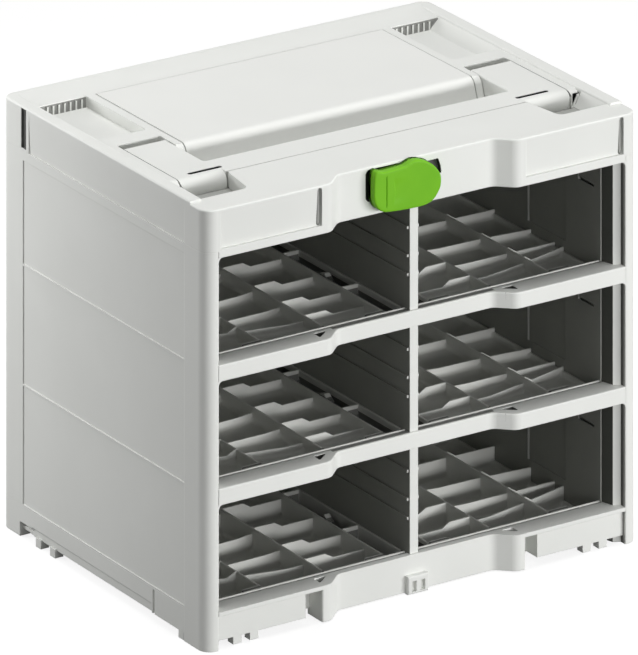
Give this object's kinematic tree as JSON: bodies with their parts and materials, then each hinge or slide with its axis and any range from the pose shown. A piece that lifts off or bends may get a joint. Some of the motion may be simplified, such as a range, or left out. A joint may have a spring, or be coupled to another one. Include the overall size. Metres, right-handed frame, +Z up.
{
  "type": "open storage rack",
  "caption": "Stackable open-front storage rack with bays for small tool boxes, rib-lattice shelves, a folding carry handle in the lid and a turning front latch.",
  "frame": {"origin": "centre of the footprint on the floor", "axes": "+Z up, the open front faces -Y, +X to the right seen from the front"},
  "size_m": [0.396, 0.296, 0.334],
  "materials": {
    "shell_grey": "light grey moulded plastic, fine matt grain",
    "panel_grey": "light grey moulded plastic, smoother",
    "liner_dark": "dark grey plastic sheet",
    "divider_grey": "light grey front edge, dark grey sides",
    "tray_grey": "mid grey moulded plastic",
    "latch_green": "bright green, satin",
    "hub_dark": "dark grey",
    "steel": "zinc plated"
  },
  "bodies": {
    "rack": {"base_shell": "shell_grey", "base_catch": "shell_grey", "front_frame": "shell_grey", "left_side_shell": "shell_grey", "right_side_shell": "shell_grey", "back_panel": "shell_grey", "centre_divider": "divider_grey", "left_bay_liner": "liner_dark", "right_bay_liner": "liner_dark", "bay_ceiling": "liner_dark", "box_tongues": "tray_grey", "lid": "shell_grey", "top_panel": "panel_grey", "handle_pins": "steel", "base_screws": "steel", "ceiling_screws": "steel", "bottom_right_rib_tray": "tray_grey", "bottom_left_rib_tray": "tray_grey", "middle_right_rib_tray": "tray_grey", "middle_left_rib_tray": "tray_grey", "top_right_rib_tray": "tray_grey", "top_left_rib_tray": "tray_grey"},
    "handle": {"carry_handle": "panel_grey"},
    "latch": {"latch_paddle": "latch_green", "latch_spindle": "hub_dark", "latch_washer": "steel", "latch_screw": "steel"}
  },
  "joints": [
    {"name": "handle_swing", "type": "hinge", "parent": "rack", "child": "handle", "pos_m": [0, -0.01, 0.325], "axis": [-1, 0, 0], "range_deg": [0, 90]},
    {"name": "latch_turn", "type": "hinge", "parent": "rack", "child": "latch", "pos_m": [0, -0.14, 0.315], "axis": [0, 1, 0], "range_deg": [0, 90]}
  ]
}
